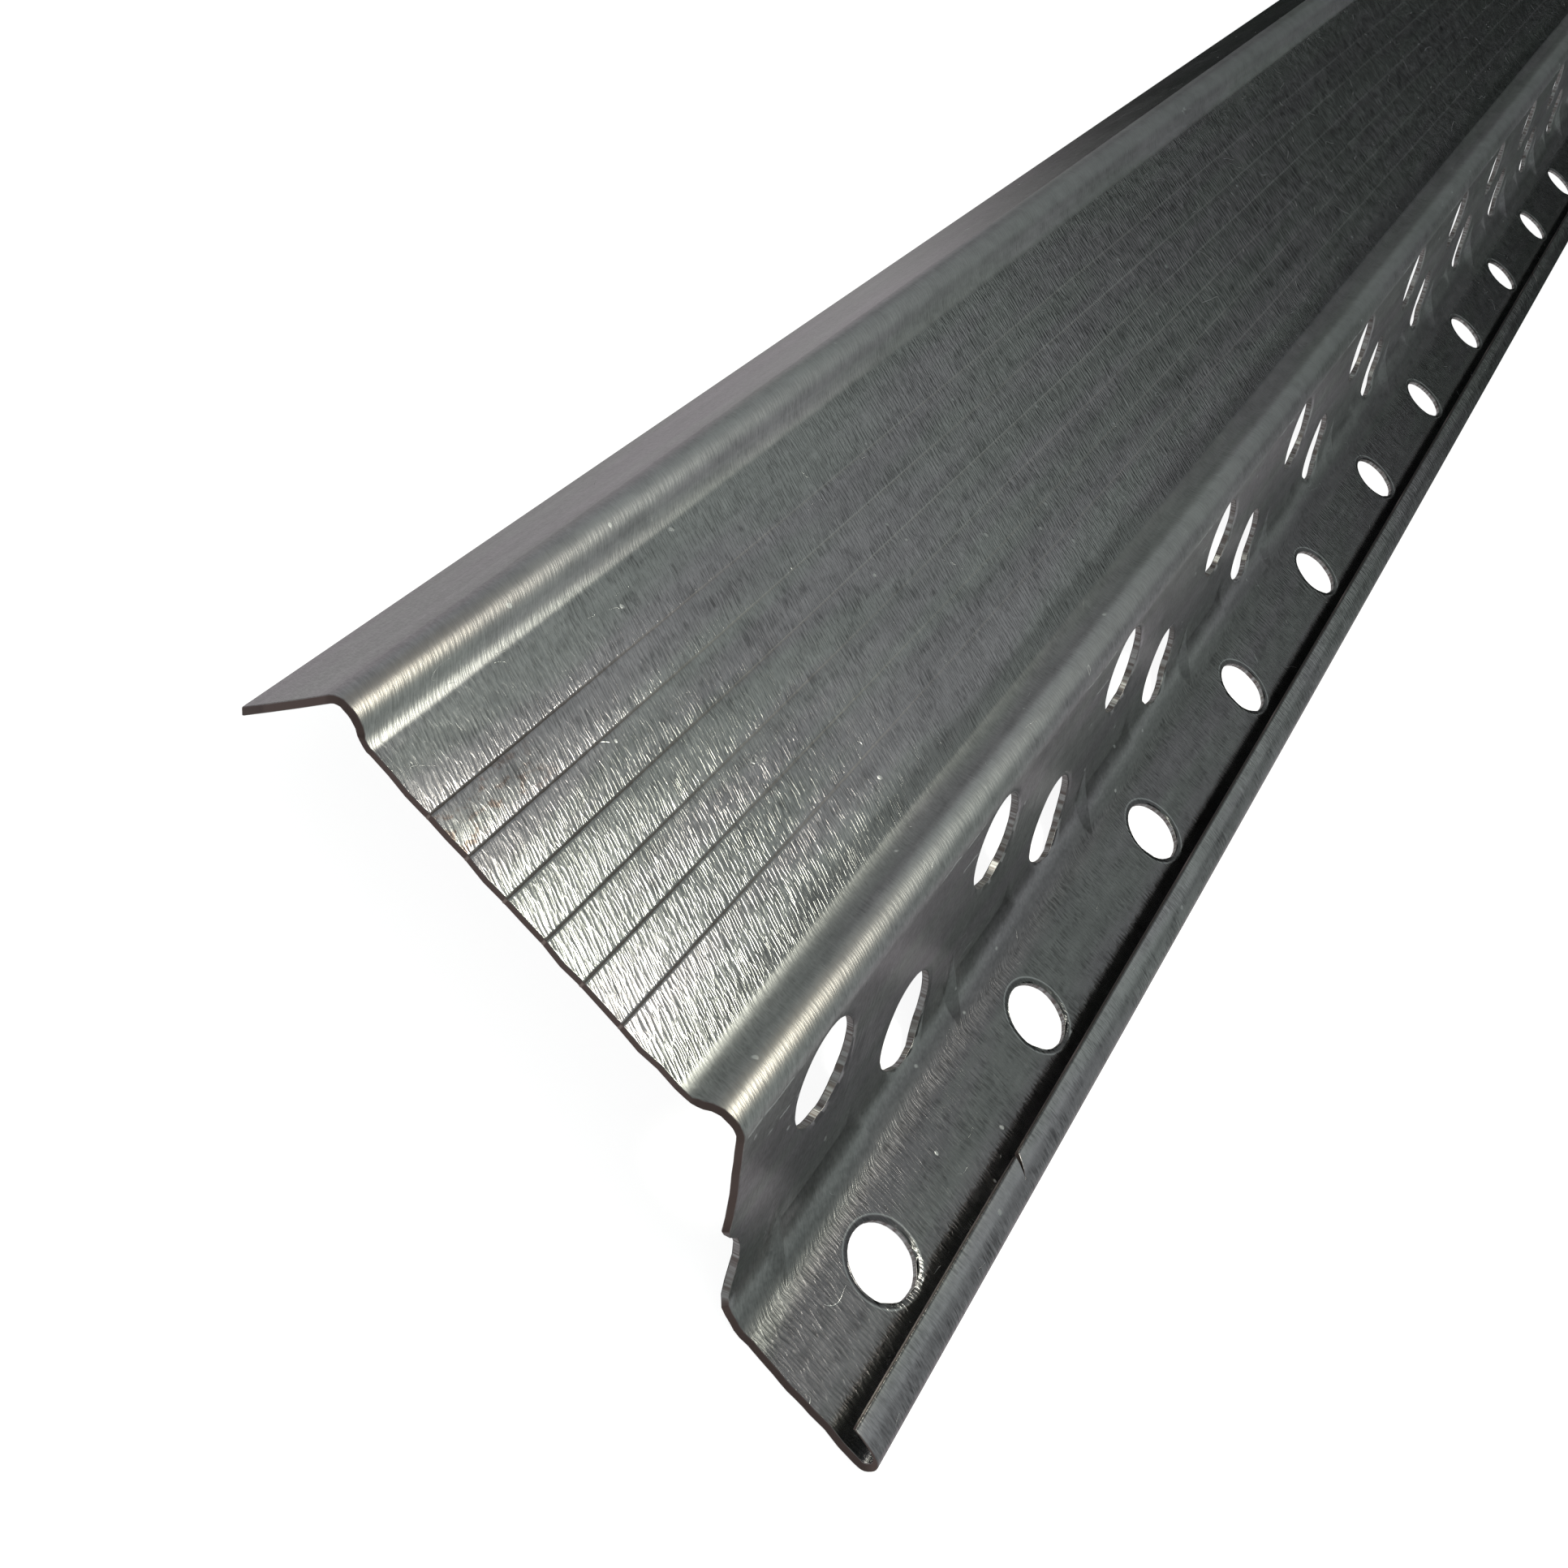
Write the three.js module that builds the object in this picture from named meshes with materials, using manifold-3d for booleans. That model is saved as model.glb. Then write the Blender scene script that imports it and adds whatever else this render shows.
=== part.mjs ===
// A resilient bar: one strip of thin galvanised steel, roll-formed along its length and punched
// with three rows of round holes. It is a single piece of sheet, so it is a single mesh.
//
// Millimetres. X runs along the bar, from the hand-cut end (-X) to the factory end (+X).
// Y runs across it, from the hem on the mounting flange (-Y) to the free lip (+Y).
// Z is up, with the underside of the mounting flange at Z = 0 and the board face on top.

import * as THREE from 'three';
import { mergeVertices } from 'three/addons/utils/BufferGeometryUtils.js';
import Module from 'manifold-3d';

const wasm = await Module();
wasm.setup();

// Driving dimensions of the whole bar.
const barLength = 600;
const overallWidth = 60;
const sheetThickness = 0.5;
const endSkew = 3.4;            // how far the hand-cut end runs out of square, from hem to lip

// The cross-section, along the middle of the sheet. Angles are in degrees from level.
const hemRadius = 0.85;
const hemTurn = 150;            // the tight fold at the outer edge of the flange
const hemReturn = 2.4;          // the domed returned edge past the fold, along its curve
const hemReturnTurn = 35;
const webFootY = -16.6;         // where the web would meet the flange if the bend were sharp
const webAngle = 58.6;
const faceHeight = 12.65;
const faceHemSideY = -4.9;
const faceLipSideY = 22.6;
const beadAngle = 46;           // the short rise from the face up to each bead
const lipAngle = 60.5;
const lipTipHeight = 5.8;
const footBend = 4.5;
const hemSideFaceBend = 2.5;
const lipSideFaceBend = 2.0;
const hemSideBeadBend = 1.6;
const lipSideBeadBend = 1.5;
const bendStep = 18;            // degrees between points around a bend

// The stiffening grooves pressed along the face.
const grooveCount = 6;
const groovePitch = 3.23;
const grooveDepth = 0.22;
const grooveHalfWidth = 0.42;
const groovesMiddleY = 8.9;

// The punched rows. All three repeat at the same pitch, and the lower web row is staggered by half
// of it, so the hand-cut end passes through that row's first hole.
const holePitch = 27;
const firstHole = 12.2;         // from the hand-cut end along the hem, on the flange and upper web rows
const flangeHoleY = -23.6;
const flangeHoleDiameter = 5.5;
const webHoleDiameter = 7.6;
const lowerRowClimb = 4.3;      // up the web from its foot to the lower row
const upperRowClimb = 11.4;     // and to the upper row
const holeSides = 12;
const punchLength = 4;

// The fine slits across the returned edge of the hem.
const firstSlit = 24.5;
const slitPitch = 206.5;
const slitWidth = 0.4;
const slitReach = 1.5;
const slitToolHeight = 2;

const halfSheet = sheetThickness / 2;
const halfWidth = overallWidth / 2;
const radians = THREE.MathUtils.degToRad;

function direction(degrees) {
  return new THREE.Vector2(Math.cos(radians(degrees)), Math.sin(radians(degrees)));
}

// Where the line through a at angle degreesA crosses the line through b at angle degreesB.
function crossing(a, degreesA, b, degreesB) {
  const u = direction(degreesA);
  const v = direction(degreesB);
  const reach = b.clone().sub(a).cross(v) / u.cross(v);
  return a.clone().addScaledVector(u, reach);
}

// The points of an arc that rounds the corner between its neighbours with the given bend radius.
function bendPoints(before, corner, after, radius) {
  const u = corner.clone().sub(before).normalize();
  const v = after.clone().sub(corner).normalize();
  const turn = Math.atan2(u.cross(v), u.dot(v));
  const side = Math.sign(turn);
  const setback = radius * Math.tan(Math.abs(turn) / 2);
  const start = corner.clone().addScaledVector(u, -setback);
  const centre = start.clone().add(new THREE.Vector2(-u.y, u.x).multiplyScalar(side * radius));
  const steps = Math.ceil(Math.abs(turn) / radians(bendStep));
  return Array.from({ length: steps + 1 }, (_, i) => start.clone().rotateAround(centre, turn * i / steps));
}

// The points of an arc about a centre, from one angle to another.
function arcPoints(centre, radius, fromAngle, toAngle) {
  const steps = Math.ceil((toAngle - fromAngle) / bendStep);
  return Array.from({ length: steps + 1 }, (_, i) => (
    centre.clone().addScaledVector(direction(fromAngle + (toAngle - fromAngle) * i / steps), radius)
  ));
}

// The hem: the domed returned edge, then the fold round to the underside of the flange.
function hemPoints() {
  const centre = new THREE.Vector2(-halfWidth + halfSheet + hemRadius, halfSheet + hemRadius);
  const foldAngle = 270 - hemTurn;
  const fold = arcPoints(centre, hemRadius, foldAngle, 270);
  const returnRadius = hemReturn / radians(hemReturnTurn);
  const returnCentre = fold[0].clone().addScaledVector(direction(foldAngle), -returnRadius);
  const returned = arcPoints(returnCentre, returnRadius, foldAngle - hemReturnTurn, foldAngle);
  return [...returned.slice(0, -1), ...fold];
}

// The grooves, as shallow V-shaped dips spaced evenly about the middle of the face.
function groovePoints() {
  const points = [];
  for (let i = 0; i < grooveCount; i += 1) {
    const y = groovesMiddleY + (i - (grooveCount - 1) / 2) * groovePitch;
    points.push(new THREE.Vector2(y - grooveHalfWidth, faceHeight));
    points.push(new THREE.Vector2(y, faceHeight - grooveDepth));
    points.push(new THREE.Vector2(y + grooveHalfWidth, faceHeight));
  }
  return points;
}

// The middle line of the sheet, from the hem's free edge round to the tip of the lip.
function sheetMiddleLine() {
  const foot = new THREE.Vector2(webFootY, halfSheet);
  const faceHemSide = new THREE.Vector2(faceHemSideY, faceHeight);
  const faceLipSide = new THREE.Vector2(faceLipSideY, faceHeight);
  const lipTip = new THREE.Vector2(halfWidth - halfSheet * Math.sin(radians(lipAngle)), lipTipHeight);
  const hemSideBead = crossing(foot, webAngle, faceHemSide, 180 - beadAngle);
  const lipSideBead = crossing(faceLipSide, beadAngle, lipTip, -lipAngle);
  const hem = hemPoints();
  return [
    ...hem,
    ...bendPoints(hem.at(-1), foot, hemSideBead, footBend),
    ...bendPoints(foot, hemSideBead, faceHemSide, hemSideBeadBend),
    ...bendPoints(hemSideBead, faceHemSide, faceLipSide, hemSideFaceBend),
    ...groovePoints(),
    ...bendPoints(faceHemSide, faceLipSide, lipSideBead, lipSideFaceBend),
    ...bendPoints(faceLipSide, lipSideBead, lipTip, lipSideBeadBend),
    lipTip,
  ];
}

// The closed outline of the sheet: the middle line moved half the thickness to each side.
function sheetOutline() {
  const line = sheetMiddleLine();
  const moved = (side) => line.map((point, i) => {
    const before = line[Math.max(i - 1, 0)];
    const after = line[Math.min(i + 1, line.length - 1)];
    const u = (i > 0 ? point.clone().sub(before) : after.clone().sub(point)).normalize();
    const v = (i < line.length - 1 ? after.clone().sub(point) : point.clone().sub(before)).normalize();
    const along = u.add(v);
    const mitre = along.length() / 2;
    along.normalize();
    const offset = side * halfSheet / mitre;
    return new THREE.Vector2(point.x - along.y * offset, point.y + along.x * offset);
  });
  return new THREE.Shape([...moved(-1), ...moved(1).reverse()]);
}

// The outline drawn along X. The hand-cut end leans away from square in proportion to Y.
function formedStrip() {
  const strip = new THREE.ExtrudeGeometry(sheetOutline(), { depth: barLength, bevelEnabled: false });
  const along = new THREE.Vector3(1, 0, 0);
  const across = new THREE.Vector3(0, 1, 0);
  const up = new THREE.Vector3(0, 0, 1);
  strip.applyMatrix4(new THREE.Matrix4().makeBasis(across, up, along));
  const position = strip.attributes.position;
  for (let i = 0; i < position.count; i += 1) {
    if (position.getX(i) < barLength / 2) {
      position.setX(i, endSkew * (position.getY(i) + halfWidth) / overallWidth);
    }
  }
  strip.translate(-barLength / 2, 0, 0);
  return strip;
}

function toSolid(geometry) {
  const bare = geometry.clone();
  bare.deleteAttribute('normal');
  bare.deleteAttribute('uv');
  const merged = mergeVertices(bare, 1e-4);
  return new wasm.Manifold(new wasm.Mesh({
    numProp: 3,
    vertProperties: new Float32Array(merged.attributes.position.array),
    triVerts: new Uint32Array(merged.index.array),
  }));
}

function toGeometry(solid) {
  const mesh = solid.getMesh();
  const geometry = new THREE.BufferGeometry();
  geometry.setAttribute('position', new THREE.BufferAttribute(mesh.vertProperties, 3));
  geometry.setIndex(new THREE.BufferAttribute(mesh.triVerts, 1));
  geometry.computeVertexNormals();
  return geometry;
}

// A round punch standing square to sheet that rises across the bar at the given angle.
function punch(diameter, sheetAngle, x, y, z) {
  const tool = new THREE.CylinderGeometry(diameter / 2, diameter / 2, punchLength, holeSides);
  tool.rotateX(Math.PI / 2 + radians(sheetAngle));
  tool.translate(x, y, z);
  return tool;
}

// One row of punches at the pitch, from the first centre until the row runs off the far end.
function punchRow(firstX, diameter, sheetAngle, y, z) {
  const count = Math.floor((barLength / 2 - firstX) / holePitch) + 1;
  return Array.from({ length: count }, (_, i) => punch(diameter, sheetAngle, firstX + i * holePitch, y, z));
}

function webRow(firstX, climb) {
  const y = webFootY + climb * Math.cos(radians(webAngle));
  const z = halfSheet + climb * Math.sin(radians(webAngle));
  return punchRow(firstX, webHoleDiameter, webAngle, y, z);
}

function slitTools() {
  const freeEdge = hemPoints()[0];
  const count = Math.floor((barLength - firstSlit) / slitPitch) + 1;
  return Array.from({ length: count }, (_, i) => {
    const tool = new THREE.BoxGeometry(slitWidth, 2 * slitReach, slitToolHeight);
    tool.translate(-barLength / 2 + firstSlit + i * slitPitch, freeEdge.x, freeEdge.y);
    return tool;
  });
}

function resilientBar() {
  const firstX = -barLength / 2 + firstHole;
  const tools = [
    ...punchRow(firstX, flangeHoleDiameter, 0, flangeHoleY, halfSheet),
    ...webRow(firstX, upperRowClimb),
    ...webRow(firstX - holePitch / 2, lowerRowClimb),
    ...slitTools(),
  ];
  let bar = toSolid(formedStrip());
  for (const tool of tools) {
    bar = bar.subtract(toSolid(tool));
  }
  const galvanisedSteel = new THREE.MeshStandardMaterial({ color: 0x878d8d, roughness: 0.42, metalness: 1 });
  const mesh = new THREE.Mesh(toGeometry(bar), galvanisedSteel);
  mesh.name = 'resilient_bar';
  return mesh;
}

const group = new THREE.Group();
group.add(resilientBar());

export default group;
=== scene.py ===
"""A resilient bar: one roll-formed, punched strip of thin galvanised steel, on a pale studio floor.

Everything is in metres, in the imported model's own frame. X runs along the bar from its hand-cut end,
Y across it from the hem to the free lip, and Z up from the mounting flange to the board face.
"""
import math

import bpy
import numpy as np
from mathutils import Matrix, Vector


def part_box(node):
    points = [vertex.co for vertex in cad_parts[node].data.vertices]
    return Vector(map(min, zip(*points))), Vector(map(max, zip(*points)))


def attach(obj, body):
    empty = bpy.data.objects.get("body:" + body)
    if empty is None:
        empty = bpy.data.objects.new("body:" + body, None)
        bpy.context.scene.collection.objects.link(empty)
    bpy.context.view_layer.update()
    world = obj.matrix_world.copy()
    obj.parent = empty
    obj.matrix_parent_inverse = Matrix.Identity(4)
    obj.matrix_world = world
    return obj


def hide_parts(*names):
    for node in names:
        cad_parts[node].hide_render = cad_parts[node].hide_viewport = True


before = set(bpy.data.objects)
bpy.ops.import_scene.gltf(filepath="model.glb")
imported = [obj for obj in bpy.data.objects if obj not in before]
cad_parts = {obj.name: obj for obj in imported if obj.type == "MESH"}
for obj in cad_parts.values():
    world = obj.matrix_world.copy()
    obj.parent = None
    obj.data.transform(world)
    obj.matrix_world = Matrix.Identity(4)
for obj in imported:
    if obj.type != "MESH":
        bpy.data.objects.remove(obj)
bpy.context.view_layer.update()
BAR_NODE = "resilient_bar"
BAR_LOW, BAR_HIGH = (Vector(corner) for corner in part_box(BAR_NODE))

bl_info = {
    "name": "Resilient Bar",
    "version": (1, 0, 0),
    "blender": (4, 5, 0),
    "location": "View3D > Sidebar > Resilient Bar",
    "description": "Forms a punched galvanised resilient bar and sets it in a plain studio",
    "category": "Object",
}

MM = 0.001


# ---------------------------------------------------------------- settings


def length_property(name, description, default, **limits):
    return bpy.props.FloatProperty(
        name=name, description=description, default=default, unit="LENGTH", subtype="DISTANCE",
        precision=5, **limits)


def angle_property(name, description, degrees):
    return bpy.props.FloatProperty(
        name=name, description=description, default=math.radians(degrees), unit="ROTATION", subtype="ANGLE")


def colour_property(name, description, default):
    return bpy.props.FloatVectorProperty(
        name=name, description=description, default=default, size=3, subtype="COLOR", min=0, max=1)


class SectionSettings(bpy.types.PropertyGroup):
    """The cross-section of the strip, measured along the middle of the sheet."""
    sheet: length_property("Sheet", "Thickness of the sheet", 0.5 * MM)
    edge_round: length_property("Edge round", "How far the sheared edges are rolled over", 0.07 * MM)
    hem_radius: length_property("Hem radius", "Radius of the hem's fold", 0.85 * MM)
    hem_turn: angle_property("Hem turn", "How far the tight part of the hem is folded over", 150)
    hem_return: length_property("Hem return", "Length of the domed edge past the fold", 2.4 * MM)
    hem_return_turn: angle_property("Hem return turn", "How far the domed edge curves", 35)
    web_foot: length_property("Web foot", "Where the web would meet the flange unrounded", -16.6 * MM)
    web_angle: angle_property("Web angle", "Rise of the web from the flange", 58.6)
    face_height: length_property("Face height", "Height of the board face", 12.65 * MM)
    face_start: length_property("Face start", "Hem side of the board face", -4.9 * MM)
    face_end: length_property("Face end", "Lip side of the board face", 22.6 * MM)
    bead_angle: angle_property("Bead angle", "Rise from the face up to each bead", 46)
    lip_angle: angle_property("Lip angle", "Fall of the free lip", 60.5)
    lip_tip: length_property("Lip tip", "Height of the lip's tip", 5.8 * MM)
    foot_bend: length_property("Foot bend", "Bend radius at the foot of the web", 4.5 * MM)
    hem_face_bend: length_property("Hem side face bend", "Bend radius on the face's hem side", 2.5 * MM)
    lip_face_bend: length_property("Lip side face bend", "Bend radius on the face's lip side", 2.0 * MM)
    hem_bead_bend: length_property("Hem side bead", "Bend radius of the bead on the hem side", 1.6 * MM)
    lip_bead_bend: length_property("Lip side bead", "Bend radius of the bead on the lip side", 1.5 * MM)


class GrooveSettings(bpy.types.PropertyGroup):
    """The fine grooves rolled into the board face."""
    count: bpy.props.IntProperty(name="Count", description="Number of grooves", default=6, min=1)
    middle: length_property("Middle", "Where the set of grooves is centred across the bar", 8.9 * MM)
    pitch: length_property("Pitch", "Distance between grooves", 3.23 * MM)
    depth: length_property("Depth", "Depth of each groove", 0.055 * MM)
    half_width: length_property("Half width", "Half the width of each groove", 0.1 * MM)
    pillow: length_property("Pillow", "How far the face swells between grooves", 0.05 * MM)


class PunchSettings(bpy.types.PropertyGroup):
    """The three rows of round holes, the slits in the hem and the hand-cut end."""
    pitch: length_property("Pitch", "Distance between holes in a row", 27 * MM)
    first: length_property("First hole", "From the hand-cut end to the first flange hole", 12.2 * MM)
    flange_row: length_property("Flange row", "Where the flange row lies across the bar", -23.6 * MM)
    flange_hole: length_property("Flange hole", "Diameter of the flange holes", 5.5 * MM)
    web_hole: length_property("Web hole", "Diameter of the web holes", 7.6 * MM)
    lower_climb: length_property("Lower row", "From the foot up the web to the lower row", 4.3 * MM)
    upper_climb: length_property("Upper row", "From the foot up the web to the upper row", 11.4 * MM)
    skew: length_property("End skew", "How far the hand-cut end is out of square", 3.4 * MM)
    torn_corner: length_property("Torn corner", "How far the corner above the cut hole stands out", 0.8 * MM)
    end_waver: length_property("End waver", "How far the hand-cut end strays from its line", 0.09 * MM)
    end_bevel: length_property("End bevel", "How far the shears dragged the top skin back", 0.22 * MM)
    rollover: length_property("Rollover", "How far the skin dips at a punched hole", 0.1 * MM)
    rollover_reach: length_property("Rollover reach", "Width of the dip round a hole", 0.4 * MM)
    hole_waver: length_property("Hole waver", "How far a hole's rim strays from round", 0.05 * MM)
    exit_burr: length_property("Exit burr", "How far metal stands out under a web hole", 0.1 * MM)
    first_slit: length_property("First slit", "From the hand-cut end to the first slit's mouth", 25.6 * MM)
    slit_pitch: length_property("Slit pitch", "Distance between slits in the hem", 206.5 * MM)
    slit_reach: length_property("Slit reach", "How far a slit runs in from the free edge", 1.65 * MM)
    slit_lean: length_property("Slit lean", "How far a slit runs back towards the cut end", 1.0 * MM)
    slit_width: length_property("Slit width", "Width of a slit at the free edge", 0.4 * MM)


class FinishSettings(bpy.types.PropertyGroup):
    """Colours of the galvanised sheet; some of them also paint shade and highlights."""
    zinc: colour_property("Zinc", "Colour of the clean zinc skin", (0.58, 0.60, 0.59))
    mauve_zinc: colour_property("Mauve zinc", "Colour where the zinc has a violet cast", (0.60, 0.585, 0.61))
    # Also used for painted highlights: the bead tops, the lines in the grooves and the ring round the flange
    # holes.
    wear_and_sheen_zinc: colour_property("Worn zinc", "Colour where rolls and handling polished it", (0.75, 0.78, 0.78))
    # Bead tops near the cut end: polish and painted highlight.
    brown_polish_and_sheen: colour_property("Brown zinc", "Colour of the beads near the cut end", (0.44, 0.38, 0.33))
    cut_steel: colour_property("Cut steel", "Colour of sheared edges", (0.21, 0.165, 0.15))
    # Near-black for the grooves: real dirt and painted shade in their bottoms.
    dirt_and_shade: colour_property("Dirt", "Colour of the dirt in the grooves", (0.022, 0.014, 0.012))
    rust: colour_property("Rust", "Colour of the first rust at the cut", (0.22, 0.10, 0.05))


class StudioSettings(bpy.types.PropertyGroup):
    """The floor, the room's light, the lamp and the camera."""
    floor_colour: colour_property("Floor", "Colour of the floor", (0.86, 0.86, 0.86))
    room_colour: colour_property("Room", "Light from the room", (0.262, 0.278, 0.272))
    side_colour: colour_property("Side light", "Soft light from the hem side", (0.245, 0.262, 0.258))
    low_colour: colour_property("Low light", "Light from below the horizon", (0.36, 0.345, 0.35))
    far_colour: colour_property("Far light", "Light from the room's dark far end", (0.004, 0.006, 0.005))
    floor_glow: bpy.props.FloatProperty(
        name="Floor glow", description="How strongly the floor glows by itself", default=0.84, min=0)
    lamp_elevation: angle_property("Lamp elevation", "Height of the lamp, seen from the cut end", 63.5)
    lamp_heading: angle_property("Lamp heading", "Turn of the lamp from the bar's length", -5)
    lamp_distance: length_property("Lamp distance", "From the cut end to the lamp", 130 * MM)
    lamp_width: length_property("Lamp width", "The oval lamp's level width", 75 * MM)
    lamp_depth: length_property("Lamp depth", "The oval lamp's other width", 22 * MM)
    lamp_power: bpy.props.FloatProperty(
        name="Lamp power", description="Power of the lamp", default=0.066, min=0, unit="POWER")
    lamp_colour: colour_property("Lamp colour", "Colour of the lamp", (1.0, 0.97, 0.84))
    camera_back: length_property("Camera back", "How far the camera stands before the cut end", 57.2 * MM)
    camera_side: length_property("Camera side", "Camera's place across the bar", 7.2 * MM)
    camera_height: length_property("Camera height", "Camera's height above the floor", 93.8 * MM)
    camera_lens: bpy.props.FloatProperty(
        name="Lens", description="Focal length in millimetres", default=40.06, min=1)
    camera_pitch: angle_property("Camera pitch", "How far the camera looks down", 44.6)
    camera_heading: angle_property("Camera heading", "Turn of the view from the bar's length", -2.55)
    camera_roll: angle_property("Camera roll", "Roll of the camera about its own line of sight", 47.0)


SETTINGS = {
    "bar_section": SectionSettings,
    "bar_grooves": GrooveSettings,
    "bar_punching": PunchSettings,
    "bar_finish": FinishSettings,
    "bar_studio": StudioSettings,
}


# ---------------------------------------------------------------- the section


FINE_STEPS = 24000   # steps in the running sum along the section
SPARE = 1 * MM       # how far the sum is carried past both edges of the sheet


def heading_vector(angle):
    """The unit step in Y and Z along a line at the given angle from level."""
    return np.array([math.cos(angle), math.sin(angle)])


def crossing(a, angle_a, b, angle_b):
    """Where the line through a at angle_a meets the line through b at angle_b."""
    u, v, gap = heading_vector(angle_a), heading_vector(angle_b), b - a
    reach = (gap[0] * v[1] - gap[1] * v[0]) / (u[0] * v[1] - u[1] * v[0])
    return a + u * reach


class Section:
    """The middle line of the sheet, followed from the hem's free edge to the tip of the lip.

    It is a chain of straight runs and round bends. The heading is constant along a run and changes
    evenly along a bend, so a point's place is the running sum of the heading's cosine and sine.
    """

    def __init__(self, size):
        half_sheet = size.sheet / 2
        half_width = (BAR_HIGH.y - BAR_LOW.y) / 2
        foot = np.array([size.web_foot, half_sheet])
        face_start = np.array([size.face_start, size.face_height])
        face_end = np.array([size.face_end, size.face_height])
        tip = np.array([half_width - half_sheet * math.sin(size.lip_angle), size.lip_tip])
        hem_bead = crossing(foot, size.web_angle, face_start, math.pi - size.bead_angle)
        lip_bead = crossing(face_end, size.bead_angle, tip, -size.lip_angle)
        fold_foot = np.array([-half_width + half_sheet + size.hem_radius, half_sheet])

        corners = [fold_foot, foot, hem_bead, face_start, face_end, lip_bead, tip]
        radii = [0, size.foot_bend, size.hem_bead_bend, size.hem_face_bend, size.lip_face_bend,
                 size.lip_bead_bend, 0]
        steps = np.diff(corners, axis=0)
        headings = np.arctan2(steps[:, 1], steps[:, 0])
        turns = np.concatenate([[0], np.diff(headings), [0]])
        setbacks = np.array(radii) * np.tan(np.abs(turns) / 2)
        straights = np.hypot(*steps.T) - setbacks[:-1] - setbacks[1:]

        names = ["hem_return", "hem_fold", "flange", "foot", "web", "hem_bead", "hem_rise", "hem_side",
                 "face", "lip_side", "lip_rise", "lip_bead", "lip"]
        bends = np.array(radii[1:-1]) * np.abs(turns[1:-1])
        lengths = [size.hem_return, size.hem_radius * size.hem_turn, straights[0]]
        swings = [size.hem_return_turn, size.hem_turn, 0]
        for bend, turn, straight in zip(bends, turns[1:-1], straights[1:]):
            lengths += [bend, straight]
            swings += [turn, 0]
        knots = np.concatenate([[0], np.cumsum(lengths)])
        knot_headings = np.concatenate([[0], np.cumsum(swings)]) - size.hem_return_turn - size.hem_turn
        self.start = dict(zip(names, knots[:-1]))
        self.stop = dict(zip(names, knots[1:]))
        self.foot_setback = setbacks[1]
        self.reach = knots[-1]

        fine = np.linspace(-SPARE, self.reach + SPARE, FINE_STEPS + 1)
        heading = np.interp(fine, knots, knot_headings)
        step = fine[1] - fine[0]
        middle = (heading[1:] + heading[:-1]) / 2
        y = np.concatenate([[0], np.cumsum(np.cos(middle))]) * step
        z = np.concatenate([[0], np.cumsum(np.sin(middle))]) * step
        self.fine, self.heading = fine, heading
        flange = self.start["flange"]
        self.y = y - np.interp(flange, fine, y) + fold_foot[0]
        self.z = z - np.interp(flange, fine, z) + fold_foot[1]

    def place(self, s, lift):
        """Y and Z of the points at distance s along the section and lift above its middle line."""
        heading = np.interp(s, self.fine, self.heading)
        y = np.interp(s, self.fine, self.y) - lift * np.sin(heading)
        z = np.interp(s, self.fine, self.z) + lift * np.cos(heading)
        return y, z

    def across(self, y, level):
        """Distance along the section of the place with the given Y on a level run, flange or face."""
        return self.start[level] + y - np.interp(self.start[level], self.fine, self.y)


# ---------------------------------------------------------------- the flat strip

COLUMNS = 6          # columns of faces in half a hole pitch
END_COLUMNS = 5      # columns between the hand-cut end and the first whole cell
SLIT_ROWS = 3        # rows of faces that a slit cuts through
RETURN_ROWS = 2      # rows in the rest of the hem's domed edge
FOLD_ROWS = 12
FLANGE_ROWS = 12     # rows in the band that holds the flange holes
FLANGE_BAND = 4.0 * MM
FOOT_LAP = 0.2 * MM  # how far below its foot bend the web's patch starts
FOOT_ROWS = 8
LOW_WEB_ROWS = 4     # rows from the foot bend up to the corner of the cut hole
HIGH_WEB_ROWS = 9    # rows from there to the top of the web
BEAD_ROWS = 8
SHOULDER_ROWS = 5
LIP_ROWS = 3
GROOVE_ROWS = np.array([-2.2, -1, 0, 1, 2.2])          # in half widths of a groove
RINGS = np.array([0.0, 0.05, 0.14, 0.3, 0.58, 1.0])    # shares of the way from a hole to its patch's rim

END_WAVES = np.array([6.1, 2.3, 0.9]) * MM             # lengths of the waves along the hand-cut end
END_WAVE_HEIGHTS = np.array([0.5, 0.3, 0.175])
END_BULGE = 1.2                                        # between grooves, in the unit of the wave heights
TORN_START = 3.1 * MM                                  # above the middle of the cut hole
TORN_UNDERCUT = 0.9 * MM
TORN_LENGTH = 4.2 * MM
TORN_CURVE = 1.5                                       # above 1, the tear falls away in a hollow curve
RIM_RAG_REACH = 0.3 * MM                               # how far from a hole its ragged rim fades out
RIM_WAVES = np.array([5, 9])                           # waves round a hole's rim
RIM_WAVE_HEIGHTS = np.array([0.5, 0.3])
RIM_WAVE_SHIFTS = MM / np.array([1.7, 2.9])            # along the bar, for each radian that a wave turns


def grid_faces(rows, columns):
    """Faces of a grid of points stored row by row, wound anticlockwise with X right and s up."""
    corner = (np.arange(rows)[:, None] * (columns + 1) + np.arange(columns)).ravel()
    return corner[:, None] + np.array([0, 1, columns + 2, columns + 1])


def grid_patch(xs, rows):
    """A plain patch of the flat strip: every x with every s."""
    s, x = np.meshgrid(rows, xs, indexing="ij")
    return np.column_stack([x.ravel(), s.ravel()]), grid_faces(len(rows) - 1, len(xs) - 1)


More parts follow.
